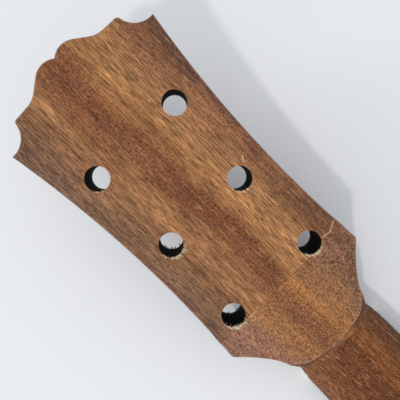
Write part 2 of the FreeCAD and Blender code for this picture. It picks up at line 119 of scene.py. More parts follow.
print("headstock:", round(plate / MM, 1), "mm thick, bores", round(2 * bore_radius / MM, 1), "mm wide")

# %% [markdown]
# ## The camera
# The neck is seen from above its back, from about a hand's length away, with the headstock lying across the
# view and the neck running out at the lower right. Three turning angles or a Track To constraint could aim
# the camera. A camera looks along its own -Z, so setting its three axes directly is surer than angles, and
# unlike the constraint it keeps the slight roll.

# %% Camera
import bpy

camera_data = bpy.data.cameras.new("camera")
camera_data.sensor_width = 36.0
camera_data.lens = 36.35
camera_data.clip_start = 10 * MM
camera = bpy.data.objects.new("camera", camera_data)
right = head_direction(-0.6956, 0.7165, -0.0528)
down = head_direction(-0.7098, -0.6968, -0.1030)
forward = head_direction(-0.1106, -0.0342, 0.9933)
turn = Matrix((right, -down, -forward)).transposed()
eye = head_point(61.04, 7.21, -157.88)
camera.matrix_world = Matrix.Translation(eye) @ turn.to_4x4()
bpy.context.scene.collection.objects.link(camera)
bpy.context.scene.camera = camera
print("camera at", [round(value, 3) for value in eye])

# %% [markdown]
# ## Colours
# A colour picker shows hex values in sRGB, but a shader computes with linear light. Each colour could be
# converted by hand, or given as three decimals that nobody can read. One function does it, so every colour
# below is a hex value.


# %% Linear colour
def linear(hex_colour):
    channels = [int(hex_colour[start : start + 2], 16) / 255 for start in (0, 2, 4)]
    return [c / 12.92 if c <= 0.04045 else ((c + 0.055) / 1.055) ** 2.4 for c in channels] + [1.0]


print("rosewood brown in linear light:", [round(value, 4) for value in linear("4a2c22")])

# %% [markdown]
# ## Nodes
# A material is a tree of nodes whose sockets are linked. Building one in code takes the same three steps for
# every node: add it, set its properties, link or fill its inputs. One small function does all three and hands
# back the socket with the result, so a material reads as a list of steps. Values that are the same all over a
# surface go straight onto the shader's own sockets.


# %% Node helpers
def add_node(tree, kind, inputs=(), result=0, **settings):
    """Adds a node and returns its result socket.

    inputs is a list in the order of the node's own inputs, or a dict of them by name or number. Each item is
    a value or another node's socket.
    """
    node = tree.nodes.new(kind)
    for name, value in settings.items():
        setattr(node, name, value)
    for name, value in inputs.items() if isinstance(inputs, dict) else enumerate(inputs):
        if isinstance(value, bpy.types.NodeSocket):
            tree.links.new(value, node.inputs[name])
        else:
            node.inputs[name].default_value = value
    return node.outputs[result]


def new_material(name, **shader_values):
    """A material, its node tree and its Principled shader with these constant values."""
    material = bpy.data.materials.new(name)
    material.use_nodes = True
    tree = material.node_tree
    shader = tree.nodes["Principled BSDF"]
    for socket, value in shader_values.items():
        shader.inputs[socket.replace("_", " ")].default_value = value
    return material, tree, shader


# A Mix node keeps its colours at inputs 6 and 7 and gives them back at output 2.
COLOUR_MIX = {"result": 2, "data_type": "RGBA"}
print("a Mix node for colours has the settings", COLOUR_MIX)

# %% [markdown]
# ## The table
# The neck lies on a sheet of pale, matt laminate. The white world could serve as a floor, but nothing would
# then catch the shadow. A plane does, 6 m wide so that its edge stays far away, with a faint cloudiness
# because no real sheet is one even colour.

# %% Table
TABLE_WIDTH = 6.0  # m
bpy.ops.mesh.primitive_plane_add(size=TABLE_WIDTH, location=(0.2, 0, cad_box[0].z))
table = bpy.context.object
table.name = "table"

laminate, tree, shader = new_material("matt_pale_table_laminate", Roughness=0.75)
place = add_node(tree, "ShaderNodeTexCoord", result="Object")
cloudy = add_node(tree, "ShaderNodeTexNoise", {"Vector": place, "Scale": 9.0, "Detail": 2.0}, "Fac")
tint = add_node(tree, "ShaderNodeMix", {0: cloudy, 6: linear("e8ebf0"), 7: linear("edeff2")}, **COLOUR_MIX)
tree.links.new(tint, shader.inputs["Base Color"])
table.data.materials.append(laminate)
print("table top at", round(cad_box[0].z, 4), "m")

# %% [markdown]
# ## The light
# An even, slightly cool room lights the neck from all round. A soft lamp beyond the heel throws the faint
# shadow with the clear edge that lies beside the headstock. Its width sets how soft that edge is: seen from
# the neck it is 4 degrees wide. A wide, low window shines in under the raised tip, so the table shows bright
# through the bores there. Sun lamps would do too, but a disk of a known size at a known distance is easier to
# picture.


# %% Room and lamps
def soft_light(name, way, distance, width, energy):
    """A round area light that shines on the headstock from the direction way."""
    light_data = bpy.data.lights.new(name, "AREA")
    light_data.shape = "DISK"
    light_data.size = width
    light_data.energy = energy
    light_data.color = (1.0, 0.97, 0.93)
    light = bpy.data.objects.new(name, light_data)
    light.location = head_point(50, 0) + way * distance
    light.rotation_mode = "QUATERNION"
    light.rotation_quaternion = way.to_track_quat("Z", "Y")
    bpy.context.scene.collection.objects.link(light)
    print(name, "is", distance, "m away,", round(math.degrees(math.asin(way.z))), "degrees up")


room = bpy.data.worlds.new("even_room_light")
bpy.context.scene.world = room
room.use_nodes = True
room.node_tree.nodes["Background"].inputs["Color"].default_value = (0.965, 0.98, 1.0, 1)
room.node_tree.nodes["Background"].inputs["Strength"].default_value = 0.76
soft_light("lamp", Vector((-0.39, 0.64, 1.0)).normalized(), 2.0, 0.14, 8.4)
soft_light("low_window", Vector((0.66, 0.68, 0.38)).normalized(), 6.0, 2.4, 88.0)
bpy.context.scene.view_settings.view_transform = "Standard"

# %% [markdown]
# ## Mahogany
# Mahogany is open-grained: its pores are tubes a few tenths of a millimetre wide that run along the tree, and
# a planed face cuts them into dark dashes. Its ribbon figure comes from layers of fibres that lean in turn
# one way and the other, so broad bands of gold and red-brown run along the board.
#
# A flat image of wood could be wrapped round the neck, but it would smear where the shape curves. A solid
# pattern, stretched along the grain, shows shorter dashes by itself wherever a face cuts the grain at an
# angle. That is what happens next to the neck: the neck's grain runs along the neck, and the board glued on
# at the scarf has its own, along the headstock.


# %% Grain
def grain_frame(tree, tilt):
    """Object coordinates in millimetres from the first bores, turned so that X runs along the grain."""
    turned = Matrix.Rotation(tilt, 3, "Y") @ head_origin
    place = add_node(tree, "ShaderNodeTexCoord", result="Object")
    inputs = {"Vector": place, "Scale": (1 / MM,) * 3, "Rotation": (0, tilt, 0), "Location": -turned / MM}
    return add_node(tree, "ShaderNodeMapping", inputs)


def grain_pattern(tree, place, size, seed, detail, noise=None, becomes=(0.0, 1.0)):
    """Blotches of size (along, across) the grain in mm; the range noise, if given, is mapped to becomes."""
    long, wide = size
    inputs = {"Vector": place, "Scale": (1 / long, 1 / wide, 1 / wide), "Location": (seed, seed * 2, seed * 3)}
    squeezed = add_node(tree, "ShaderNodeMapping", inputs)
    inputs = {"Vector": squeezed, "Scale": 1.0, "Detail": detail, "Roughness": 0.55}
    blotches = add_node(tree, "ShaderNodeTexNoise", inputs, "Fac")
    if noise is None:
        return blotches
    return add_node(tree, "ShaderNodeMapRange", [blotches, *noise, *becomes])


print("grain runs", round(math.degrees(lean), 2), "degrees off the neck's in the headstock board")

# %% [markdown]
# ### Bands
# Each board has its own figure. It could be drawn with a wave texture, but real bands are all of different
# widths. So they are short ramps across the board, one for the tones, which are the wood's gold, red-brown and
# grey-mauve with some painted light and shade towards the sides, and one for how streaky it is. Noise makes
# them wander, so no band has a straight edge.

# %% Bands across a board
BOARD_WIDTH = 90.0  # mm, the width that the bands are laid over


def across_ramp(tree, across, bands):
    """A ramp over the board's width; bands pairs a place across it in mm with a grey value or a colour."""
    part = add_node(tree, "ShaderNodeMapRange", [across, -BOARD_WIDTH / 2, BOARD_WIDTH / 2])
    ramp = add_node(tree, "ShaderNodeValToRGB", [part], "Color")
    elements = ramp.node.color_ramp.elements
    while len(elements) < len(bands):
        elements.new(1.0)
    for element, (across_mm, tone) in zip(elements, bands):
        element.position = 0.5 + across_mm / BOARD_WIDTH
        element.color = linear(tone) if isinstance(tone, str) else (tone, tone, tone, 1)
    return ramp


def wandering(tree, place, seed):
    """How far across the board a place is in mm, give or take up to 12 mm of drift along the grain."""
    drift = add_node(
        tree, "ShaderNodeMath", [grain_pattern(tree, place, (60, 16), seed, 2), 0.5], operation="SUBTRACT"
    )
    across = add_node(tree, "ShaderNodeSeparateXYZ", [place], "Y")
    return add_node(tree, "ShaderNodeMath", [drift, 24.0, across], operation="MULTIPLY_ADD")


print("bands are laid over", BOARD_WIDTH, "mm")

# %% [markdown]
# ### Fibres and pores
# Over the bands lie the marks of single fibres, long streaks in the golden wood and short specks in the red.
# A fibre is finer than can show, so streaks are drawn about 0.5 mm wide. Pores could be noise too, but noise
# has no separate marks. The cells of a Voronoi texture, stretched along the grain, each leave one dash.

# %% Fibres and pores
PORE_SPACING = 0.75  # mm across the grain; a pore is drawn half as wide, which is the least that shows


def mahogany_figure(tree, place, streaky, dash, seed):
    """How bright the fibres are, about 1, from streaks where the wood is golden and specks where it is red."""
    ribbons = grain_pattern(tree, place, (dash * 8, 2.4), seed + 5, 1, (0.35, 0.65), (0.84, 1.16))
    streaks = grain_pattern(tree, place, (dash * 1.2, 0.47), seed + 7, 2, (0.41, 0.6), (0.36, 1.85))
    specks = grain_pattern(tree, place, (dash * 0.24, 0.48), seed + 9, 2, (0.41, 0.6), (0.45, 1.6))
    part = add_node(tree, "ShaderNodeMapRange", [streaky, 0.0, 1.0, 0.1, 0.68])
    excess = add_node(tree, "ShaderNodeMath", [streaks, specks], operation="SUBTRACT")
    fibres = add_node(tree, "ShaderNodeMath", [excess, part, specks], operation="MULTIPLY_ADD")
    return add_node(tree, "ShaderNodeMath", [fibres, ribbons], operation="MULTIPLY")


def open_pores(tree, place, size, seed, fade):
    """Dashes where tubes are cut open, one to a cell of size (along, across) the grain in mm."""
    long, wide = size
    inputs = {"Vector": place, "Scale": (1 / long, 1 / wide, 1 / wide), "Location": (seed,) * 3}
    squeezed = add_node(tree, "ShaderNodeMapping", inputs)
    cells = add_node(tree, "ShaderNodeTexVoronoi", {"Vector": squeezed, "Scale": 1.0}, "Distance")
    return add_node(tree, "ShaderNodeMapRange", [cells, *fade, 1.0, 0.0])


def mahogany_pores(tree, place, dash, seed):
    """Pores that are thick in places and thin in others."""
    pores = open_pores(tree, place, (dash, PORE_SPACING), seed, (0.14, 0.36))
    some = grain_pattern(tree, place, (18, 6), seed + 11, 1, (0.4, 0.62), (0.1, 1.0))
    return add_node(tree, "ShaderNodeMath", [pores, some], operation="MULTIPLY")


print("pores lie about", PORE_SPACING, "mm apart across the grain")

# %% [markdown]
# ### End grain and painted shade
# End grain is darker, because its open tubes swallow light. The side walls and the neck's scoop past the ridge
# turn away from the light, and their shade is painted into the colour as a darker tint. Both could be painted
# on as vertex colours. The shape's own normal and place already tell them apart, at any resolution, so the
# material asks those.

# %% End grain and painted shade
RIDGE_AT = -40.0  # mm along the grain from the first bores, towards the neck


def end_grain(tree, tilt):
    """How much a face looks along the grain, from the shape's own normal."""
    normal = add_node(tree, "ShaderNodeNewGeometry", result="Normal")
    grain = (math.cos(tilt), 0.0, math.sin(tilt))
    facing = add_node(tree, "ShaderNodeVectorMath", [normal, grain], "Value", operation="DOT_PRODUCT")
    either_way = add_node(tree, "ShaderNodeMath", [facing], operation="ABSOLUTE")
    return add_node(tree, "ShaderNodeMapRange", [either_way, 0.35, 0.85])


def painted_shade_off_the_flat(tree, place, tilt):
    """0 on the headstock's flat back, 1 on its side walls and on the neck past the ridge, where shade is
    painted.
    """
    normal = Matrix.Rotation(tilt, 3, "Y") @ back_normal
    height = add_node(tree, "ShaderNodeVectorMath", [place, normal], "Value", operation="DOT_PRODUCT")
    either_way = add_node(tree, "ShaderNodeMath", [height], operation="ABSOLUTE")
    aside = add_node(tree, "ShaderNodeMapRange", [either_way, 0.5, 2.5])
    along = add_node(tree, "ShaderNodeSeparateXYZ", [place], "X")
    past_ridge = add_node(tree, "ShaderNodeMapRange", [along, RIDGE_AT + 1, RIDGE_AT - 1])
    return add_node(tree, "ShaderNodeMath", [aside, past_ridge], operation="MAXIMUM")


# The painted shade past the ridge begins at RIDGE_AT.
print("rasped wood starts", -RIDGE_AT, "mm from the first bores, towards the neck")

# %% [markdown]
# ### Scratches
# A slip of a chisel or of the drill left a few pale scratches on the back. Cut into the mesh they would be
# thinner than its faces. A material can measure how far each place is from a short straight line, and paint
# what is near.

# %% A scratch
SCRATCH_EDGE = (0.7, 0.3)  # parts of a scratch's width: where it begins, and where it is full


def scratch(tree, place, start, end, width):
    """1 on a straight scratch between two places (along, across) of the headstock, all in mm."""
    start, end = (Vector((along, -across, 0)) for along, across in (start, end))
    way = end - start
    flat = add_node(tree, "ShaderNodeVectorMath", [place, (1, 1, 0)], operation="MULTIPLY")
    offset = add_node(tree, "ShaderNodeVectorMath", [flat, start], operation="SUBTRACT")
    inputs = [offset, way / way.length_squared]
    part = add_node(tree, "ShaderNodeVectorMath", inputs, "Value", operation="DOT_PRODUCT")
    held = add_node(tree, "ShaderNodeMapRange", [part, 0, 1])
    nearest = add_node(tree, "ShaderNodeVectorMath", {0: way, "Scale": held}, operation="SCALE")
    distance = add_node(tree, "ShaderNodeVectorMath", [offset, nearest], "Value", operation="DISTANCE")
    return add_node(tree, "ShaderNodeMapRange", [distance, *(width * part for part in SCRATCH_EDGE)])


print("a scratch fades in from", SCRATCH_EDGE[0], "to", SCRATCH_EDGE[1], "of its width from its line")

# %% [markdown]
# ### Sanded mahogany
# Raw wood scatters light like paper, so it is rough and hardly glossy, and its pores are a fine bump. Where an
# edge was eased with sandpaper, dust fills the pores and the wood is paler, and that paleness also holds a
# painted highlight along the rounded rims and the ridge; the eased faces carry it as an attribute. One long
# expression could mix all this. A list of layers is easier to follow: each has a strength, a colour and a way
# to blend, and they are laid over the bands in turn, as a painter would.


# %% Layers over the bands
def mahogany_layers(tree, place, tilt, shaded, fibres, pores, dash, seed, scratches):
    """What lies over the bands, as (strength, colour, way to blend)."""
    patches = grain_pattern(tree, place, (30, 12), seed + 3, 2, (0.3, 0.7), (0.82, 1.2))
    pale_streaks = grain_pattern(tree, place, (dash * 1.4, 0.55), seed + 13, 1, (0.6, 0.7), (0, 0.5))
    eased = add_node(tree, "ShaderNodeAttribute", result="Fac", attribute_name="eased")
    dust_and_highlight = grain_pattern(tree, place, (5, 1.2), seed + 15, 2, (0.35, 0.65), (0.1, 0.65))
    marks = [
        (pores, 0.72, "3d2116"),
        (end_grain(tree, tilt), 0.62, "45291f"),
        # Paler on eased faces: sanding dust, and a painted highlight along the rims and the ridge.
        (eased, dust_and_highlight, "b98d76"),
        *((scratch(tree, place, *line), 0.75, "cfa88c") for line in scratches),
    ]
    return [
        (1.0, patches, "MULTIPLY"),
        # A darker tint multiplied in off the flat back: painted shade on the side walls and past the ridge.
        (painted_shade_off_the_flat(tree, place, tilt), linear(shaded), "MULTIPLY"),
        (1.0, fibres, "MULTIPLY"),
        (pale_streaks, linear("c79866"), "MIX"),
        *(
            (add_node(tree, "ShaderNodeMath", [mark, strength], operation="MULTIPLY"), linear(tone), "MIX")
            for mark, strength, tone in marks
        ),
    ]


# b98d76 is the eased faces' pale tone: sanding dust with a painted highlight.
print("sanding dust in linear light:", [round(value, 3) for value in linear("b98d76")])

# %% [markdown]
# The material itself then lays those layers in order. Its height for the bump comes from the same fibres and
# pores, so what looks like a groove also shades like one.

# %% Mahogany
RAW_ROUGHNESS = 0.72


def mahogany(name, tilt, streaky_bands, tone_bands, shaded, dash, seed, scratches=()):
    """Sanded mahogany; the tint off the flat back is painted shade, and dash is a pore cell's length in mm."""
    material, tree, shader = new_material(name, Roughness=RAW_ROUGHNESS, Specular_IOR_Level=0.2)
    place = grain_frame(tree, tilt)
    across = wandering(tree, place, seed)
    fibres = mahogany_figure(tree, place, across_ramp(tree, across, streaky_bands), dash, seed)
    pores = mahogany_pores(tree, place, dash, seed)

    wood = across_ramp(tree, across, tone_bands)
    layers = mahogany_layers(tree, place, tilt, shaded, fibres, pores, dash, seed, scratches)
    for strength, tone, blend in layers:
        wood = add_node(tree, "ShaderNodeMix", {0: strength, 6: wood, 7: tone}, blend_type=blend, **COLOUR_MIX)
    tree.links.new(wood, shader.inputs["Base Color"])

    raised = add_node(tree, "ShaderNodeMath", [fibres, 0.5], operation="MULTIPLY")
    height = add_node(tree, "ShaderNodeMath", [pores, -1.0, raised], operation="MULTIPLY_ADD")
    bump = add_node(tree, "ShaderNodeBump", {"Height": height, "Strength": 0.5, "Distance": 0.15 * MM})
    tree.links.new(bump, shader.inputs["Normal"])
    print(name, "has", len(layers), "layers over its bands")
    return material


print("roughness of the raw wood:", RAW_ROUGHNESS)

# %% [markdown]
# ### The two boards
# The headstock board is the showy one: a golden band on either side of a red-brown heart, greyer towards the
# edges, and long dashes. The neck's board is plainer, and its dashes are shorter. Places are millimetres
# across the board, from the bass side to the treble side.

# %% The two boards' wood
board_wood = mahogany(
    "sanded_mahogany_board",
    lean,
    streaky_bands=[
        (-44, 0.2), (-27, 0.5), (-20, 0.9), (-14, 1.0), (-9, 0.8), (-5, 0.1),
        (4, 0.15), (9, 0.9), (17, 0.9), (27, 0.6), (36, 0.5), (44, 0.4),
    ],
    # The darkest, greyest tones at the -44 mm end are partly the wood's grey-mauve and partly painted shade
    # along the edge turned from the lamp.
    tone_bands=[
        (-44, "563c34"), (-36, "684739"), (-31, "7a5139"), (-24, "926443"), (-16, "a2724a"), (-11, "a67448"),
        (-7, "8a5b38"), (-4, "7d4c30"), (3, "7c4c31"), (7, "8c5e3d"), (12, "a0704a"), (18, "8c603f"),
        (24, "866146"), (30, "745542"), (36, "735746"), (44, "6d5446"),
    ],
    # The darker tint off the flat back is painted shade.
    shaded="c8b8ae",
    dash=5.5,
    seed=2.0,
    scratches=[
        ((-0.7, 34.2), (-2.9, 30.2), 0.5), ((-2.9, 30.2), (-2.4, 26.4), 0.45),
        ((44.1, 26.2), (42.4, 25.1), 0.7), ((84.6, 15.1), (84.2, 15.3), 0.6),
    ],
)
shaft_wood = mahogany(
    "sanded_mahogany_shaft",
    0.0,
    streaky_bands=[
        (-44, 0.1), (-22, 0.3), (-9, 0.35), (-3, 0.05), (3, 0.05), (8, 0.35), (20, 0.2), (44, 0.1),
    ],
    # Lighter, pinker tones towards 44 mm and darker ones towards -44 mm: partly the wood's own, partly painted
    # light on the flank towards the lamp and painted shade on the other.
    tone_bands=[
        (-44, "7a5645"), (-28, "7e5843"), (-19, "876045"), (-8, "a06b3f"), (-2, "8f5c3a"),
        (4, "89583a"), (10, "9c6a42"), (17, "9c6e50"), (26, "916757"), (44, "8c6555"),
    ],
    # The darker tint off the flat back is painted shade.
    shaded="c4b3a6",
    dash=3.5,
    seed=20.0,
)
print("mahogany:", board_wood.name, shaft_wood.name)

# %% [markdown]
# ## Bore walls
# Inside the bores the wood looks almost black, because it lies in deep shade, and that shade is painted into
# the walls' colour. The mahogany could be darkened inside the bores, but a second material slot is simpler and
# keeps the rims crisp. It has a trace of the bit's rings round the wall.


# %% Bore wall material
def two_toned(name, dark, light, size, seed, detail, tilt=0.0, **shader_values):
    """A material that wavers between two colours, in blotches of size (along, across) the grain in mm."""
    material, tree, shader = new_material(name, **shader_values)
    waver = grain_pattern(tree, grain_frame(tree, tilt), size, seed, detail)
    tone = add_node(tree, "ShaderNodeMix", {0: waver, 6: linear(dark), 7: linear(light)}, **COLOUR_MIX)
    tree.links.new(tone, shader.inputs["Base Color"])
    return material


# Near black: painted shade for the deep shade inside the bores.
bore_wall_surface = {"Roughness": 0.85, "Specular_IOR_Level": 0.1}
bore_wall_painted_shade = two_toned("mahogany_bore_painted_shade", "0b0a0e", "1d1512", (6.0, 0.5), 4.0, 1, lean, **bore_wall_surface)
print("bore walls:", bore_wall_painted_shade.name)

# %% [markdown]
# ## Carving the mahogany
# The CAD solids have the right shape but razor-sharp edges, and their meshes have coarse bores. Easing each
# board by itself would leave a groove where they meet. A carver glues the two first, and only then saws,
# drills and sands them as one, and the same order works here. A Boolean modifier unites two merged copies, a
# second one bores them again with smoother cutters, a bevel eases the rims, and one cut along the glue line
# gives the two pieces back.

# %% Copies to carve
import bmesh

TOUCHING = 0.001 * MM  # corners nearer than this are one corner


def one_object(name, bm):
    """Puts a bmesh into a new object at the origin."""
    mesh = bpy.data.meshes.new(name)
    bm.to_mesh(mesh)
    bm.free()
    made = bpy.data.objects.new(name, mesh)
    bpy.context.scene.collection.objects.link(made)
    return made


def merged_copy(node_name):
    """A copy of a CAD node whose loose triangles are joined."""
    bm = bmesh.new()
    bm.from_mesh(frame["nodes"][node_name].data)
    bmesh.ops.remove_doubles(bm, verts=bm.verts, dist=TOUCHING)
    return one_object(f"copy_of_{node_name}", bm)


def bore_cutters():
    """Six smooth drills, a hair wider than the coarse bores, so that nothing of those is left."""
    drill_radius = bore_radius + 0.02 * MM
    bm = bmesh.new()
    for bore in bores:
        turned = Vector((0, 0, 1)).rotation_difference(Vector(bore["axis"])).to_matrix().to_4x4()
        bmesh.ops.create_cone(
            bm,
            segments=72,
            radius1=drill_radius,
            radius2=drill_radius,
            depth=plate * 2,
            cap_ends=True,
            matrix=Matrix.Translation(Vector(bore["pos_m"])) @ turned,
        )
    return one_object("bore_cutters", bm)


blank, board, cutters = merged_copy("neck_shaft"), merged_copy("headstock_board"), bore_cutters()
print("to carve:", [(part.name, len(part.data.polygons)) for part in (blank, board, cutters)])

# %% [markdown]
# The exact solver is the slowest one, but it copes with the glued faces, which lie in one plane. It leaves
# thin triangles behind, so faces in one plane are joined again afterwards, because a bevel needs clean rims.


# %% Glue the boards and bore them
def glued_and_bored(blank, board, cutters):
    """The neck's two boards as one blank, with its bores cut again, as a bmesh."""
    for operand, operation in ((board, "UNION"), (cutters, "DIFFERENCE")):
        step = blank.modifiers.new(operation.lower(), "BOOLEAN")
        step.object, step.operation, step.solver = operand, operation, "EXACT"
    bpy.context.view_layer.update()
    result = bmesh.new()
    result.from_mesh(blank.evaluated_get(bpy.context.evaluated_depsgraph_get()).to_mesh())
    for spare in (blank, board, cutters):
        bpy.data.objects.remove(spare)
    bmesh.ops.remove_doubles(result, verts=result.verts, dist=2 * TOUCHING)
    same_plane = math.radians(0.3)
    bmesh.ops.dissolve_limit(result, angle_limit=same_plane, verts=result.verts, edges=result.edges)
    return result


blank = glued_and_bored(blank, board, cutters)
print("glued blank:", len(blank.faces), "faces,", sum(not e.is_manifold for e in blank.edges), "loose edges")

# %% [markdown]
# ## Easing the rims
# On the real neck, a sanding block has rounded the rim of the outline and the volute's ridge, and the bores'
# mouths have only lost their burr. A Bevel modifier would round every sharp edge alike. Here an edge is
# chosen by what it is: one of its faces lies on the headstock's back and the other turns well away from it.

# %% Find the rims
ON_THE_BACK = 0.02 * MM  # an edge that is nearer to the back's plane than this lies on it
MOUTH_MARGIN = 0.8 * MM  # how far round a bore an edge counts as its mouth


def distance_from_bores(point):
    """How far a point is from the nearest bore's axis."""
    distances = []
    for bore in bores:
        away = point - Vector(bore["pos_m"])
        axis = Vector(bore["axis"])
        distances.append((away - axis * away.dot(axis)).length)
    return min(distances)


def rim_edges(bm, at_bores):
    """The sharp edges of the headstock's back, either at the bores' mouths or everywhere else."""
    rim = []
    for edge in bm.edges:
        heights = [abs((vertex.co - head_origin).dot(back_normal)) for vertex in edge.verts]
        if len(edge.link_faces) != 2 or max(heights) > ON_THE_BACK:
            continue
        other, flat = sorted(face.normal.dot(back_normal) for face in edge.link_faces)
        middle = (edge.verts[0].co + edge.verts[1].co) / 2
        near_bore = distance_from_bores(middle) < bore_radius + MOUTH_MARGIN
        if flat > 0.9999 and -0.5 < other < 0.93 and near_bore == at_bores:
            rim.append(edge)
    return rim


outline, mouths = rim_edges(blank, False), rim_edges(blank, True)
print("edges to ease:", len(outline), "round the outline and ridge,", len(mouths), "at the bores")

# %% [markdown]
# The bevel's new faces could look like the rest, but they are drawn paler: sanding dust in their pores, and a
# painted highlight where the rounded rims and the ridge catch the light. They remember how pale they are in an
# attribute, which the mahogany reads: the ridge is palest. The mouths are found again after the first bevel,
# because it renumbers the edges.

# %% Ease the rims
RIDGE_START = -27 * MM  # along the headstock; the throat and the ridge lie below this
# How pale the eased faces are drawn, for sanding wear and a painted highlight; the ridge gets the most.
RIDGE_WEAR_AND_HIGHLIGHT, RIM_WEAR_AND_HIGHLIGHT = 1.0, 0.45


def ease(bm, edges, width, segments):
    """Rounds the edges and writes on the new faces how pale they are drawn, for wear and a painted highlight.
    """
    layer = bm.loops.layers.float.get("eased") or bm.loops.layers.float.new("eased")
    rounded = bmesh.ops.bevel(
        bm,
        geom=edges,
        affect="EDGES",
        offset=width,
        segments=segments,
        profile=0.5,
        material=-1,
        clamp_overlap=False,
    )
    for face in rounded["faces"]:
        along = (face.calc_center_median() - head_origin).dot(head_up)
        for corner in face.loops:
            corner[layer] = RIDGE_WEAR_AND_HIGHLIGHT if along < RIDGE_START else RIM_WEAR_AND_HIGHLIGHT


ease(blank, outline, 0.7 * MM, 3)
ease(blank, rim_edges(blank, True), 0.2 * MM, 2)
print("eased blank:", len(blank.faces), "faces")

# %% [markdown]
# ## Cutting the blank along its glue line
# The glue line is level with the gluing face of the neck, and it cuts the leaning headstock at 14 degrees, so
# it comes out on the back as one straight line across. A Boolean could part the blank too, but one plane is
# all it takes. The cut is closed with triangle_fill, because it can leave the bores open inside the board's
# outline.

# %% Cut the blank
glue_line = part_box("headstock_board")[0].z


def cut_off(bm, keep_upper):
    """The part of the blank above the glue line, or the part below it."""
    part = bm.copy()
    bmesh.ops.bisect_plane(
        part,
        geom=part.verts[:] + part.edges[:] + part.faces[:],
        dist=TOUCHING,
        plane_co=(0, 0, glue_line),
        plane_no=(0, 0, 1),
        clear_inner=keep_upper,
        clear_outer=not keep_upper,
    )
    open_edges = [edge for edge in part.edges if edge.is_boundary]
    bmesh.ops.triangle_fill(part, edges=open_edges, normal=(0, 0, 1), use_beauty=True)
    bmesh.ops.recalc_face_normals(part, faces=part.faces)
    return part


upper, lower = cut_off(blank, True), cut_off(blank, False)
blank.free()
print("faces above the glue line at", round(glue_line / MM, 2), "mm:", len(upper.faces))
print("faces below it:", len(lower.faces))

# %% [markdown]
# Each part becomes a piece that stands for its CAD solid. Its bore walls take the near-black painted shade.
# Shading that is smooth over the rounded rims would bend over the flats too, so edges past 35 degrees stay
# sharp and weighted normals keep the large faces flat.


# %% The two carved pieces
def carved(node_name, bm, wood):
    """The piece that stands for a CAD node, riding on the neck."""
    for face in bm.faces:
        face.smooth = True
        in_bore = distance_from_bores(face.calc_center_median()) < bore_radius + 0.1 * MM
        # Bore walls take the second slot, the near-black painted shade.
        face.material_index = int(in_bore and abs(face.normal.dot(back_normal)) < 0.3)
    loose = sum(not edge.is_manifold for edge in bm.edges)
    piece = one_object(f"carved_{node_name}", bm)
    piece.data.materials.append(wood)
    piece.data.materials.append(bore_wall_painted_shade)
    piece.data.set_sharp_from_angle(angle=math.radians(35))
    weighted = piece.modifiers.new("flat_faces_stay_flat", "WEIGHTED_NORMAL")
    weighted.keep_sharp = True
    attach(piece, "neck")
    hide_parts(node_name)
    print(piece.name, len(piece.data.polygons), "faces,", loose, "loose edges")
    return piece


carved_shaft = carved("neck_shaft", lower, shaft_wood)
carved_board = carved("headstock_board", upper, board_wood)

# %% [markdown]
# ## Torn fibres
# A blunt bit tears the last fibres out on the side where it leaves them unsupported. They stand as pale, fine
# slivers round the neck side of the bores. A hair system could grow them, but would have to be turned into a
# mesh to be kept. Each sliver is a thin cone of a few faces instead, a tenth of it sunk in the wood, laid
# nearly on the surface and pointing down the neck.

# %% Slivers
import random


def sliver(bm, root, way, length, width):
    """A thin tapering fibre from root, pointing along way."""
    turned = Vector((0, 0, 1)).rotation_difference(way).to_matrix().to_4x4()
    bmesh.ops.create_cone(
        bm,
        segments=5,
        radius1=width / 2,
        radius2=width / 8,
        depth=length,
        cap_ends=True,
        matrix=Matrix.Translation(root + way * length * 0.4) @ turned,
    )


def round_the_rim(middle_deg, spread_deg):
    """A random direction out of a bore, near the one that is middle_deg from straight down the neck."""
    angle = math.radians(random.gauss(middle_deg, spread_deg))
    return -head_up * math.cos(angle) + head_across * math.sin(angle)


def torn_rim(bm, bore, count, middle_deg, spread_deg, longest):
    """Slivers on a bore's mouth, the longest of them longest millimetres long."""
    mouth = Vector(bore["pos_m"]) + back_normal * plate / 2
    for _ in range(count):
        outward = round_the_rim(middle_deg, spread_deg)
        root = mouth + outward * bore_radius * random.uniform(0.97, 1.12) + back_normal * 0.02 * MM
        sideways = random.gauss(0.0, 0.22)
        lift = random.uniform(0.0, 0.16)
        way = (-head_up + head_across * (0.25 + sideways) + back_normal * lift).normalized()
        if random.random() < 0.25:  # a quarter of them have folded into the bore
            way = (way * 0.5 - back_normal - outward * 0.5).normalized()
        sliver(bm, root, way, random.uniform(0.35, 1.0) * longest * MM, random.uniform(0.18, 0.42) * MM)


print("straight down the neck is", [round(value, 2) for value in -head_up])

# %% [markdown]
# The random numbers are seeded, so the slivers fall the same way every time. The first treble bore tore the
# worst and the last pair hardly at all, so each bore has its own count, side and length.

# %% Tear the rims
random.seed(7)
TORN = {  # how many slivers, round which side in degrees, over what spread, and the longest in mm
    "machine_head_bore_1_treble": (70, -28, 30, 2.6),
    "machine_head_bore_1_bass": (46, -30, 30, 1.7),
    "machine_head_bore_2_treble": (46, -12, 30, 2.2),
    "machine_head_bore_2_bass": (24, -30, 26, 1.3),
    "machine_head_bore_3_treble": (10, -30, 22, 1.2),
    "machine_head_bore_3_bass": (8, 0, 30, 1.0),
}
bm = bmesh.new()
for name, torn in TORN.items():
    torn_rim(bm, mounts[name], *torn)
fibres = one_object("torn_fibres", bm)
dry = {"Roughness": 0.9, "Specular_IOR_Level": 0.15}
torn_wood = two_toned("torn_mahogany_fibre", "b79a78", "efe2c8", (1.5, 0.5), 1.0, 1, lean, **dry)
fibres.data.materials.append(torn_wood)
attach(fibres, "neck")
print("torn fibres:", len(fibres.data.polygons), "faces")

# %% [markdown]
# ## Stubs in the bores
# Where the bit broke through at the far mouth, it left short stubs standing into two of the bores, drawn near
# black with the bore walls' painted shade. They show against the bright table. Notches in the cutters would
# leave them as part of the wall, but the slivers' own function makes them in a few lines.


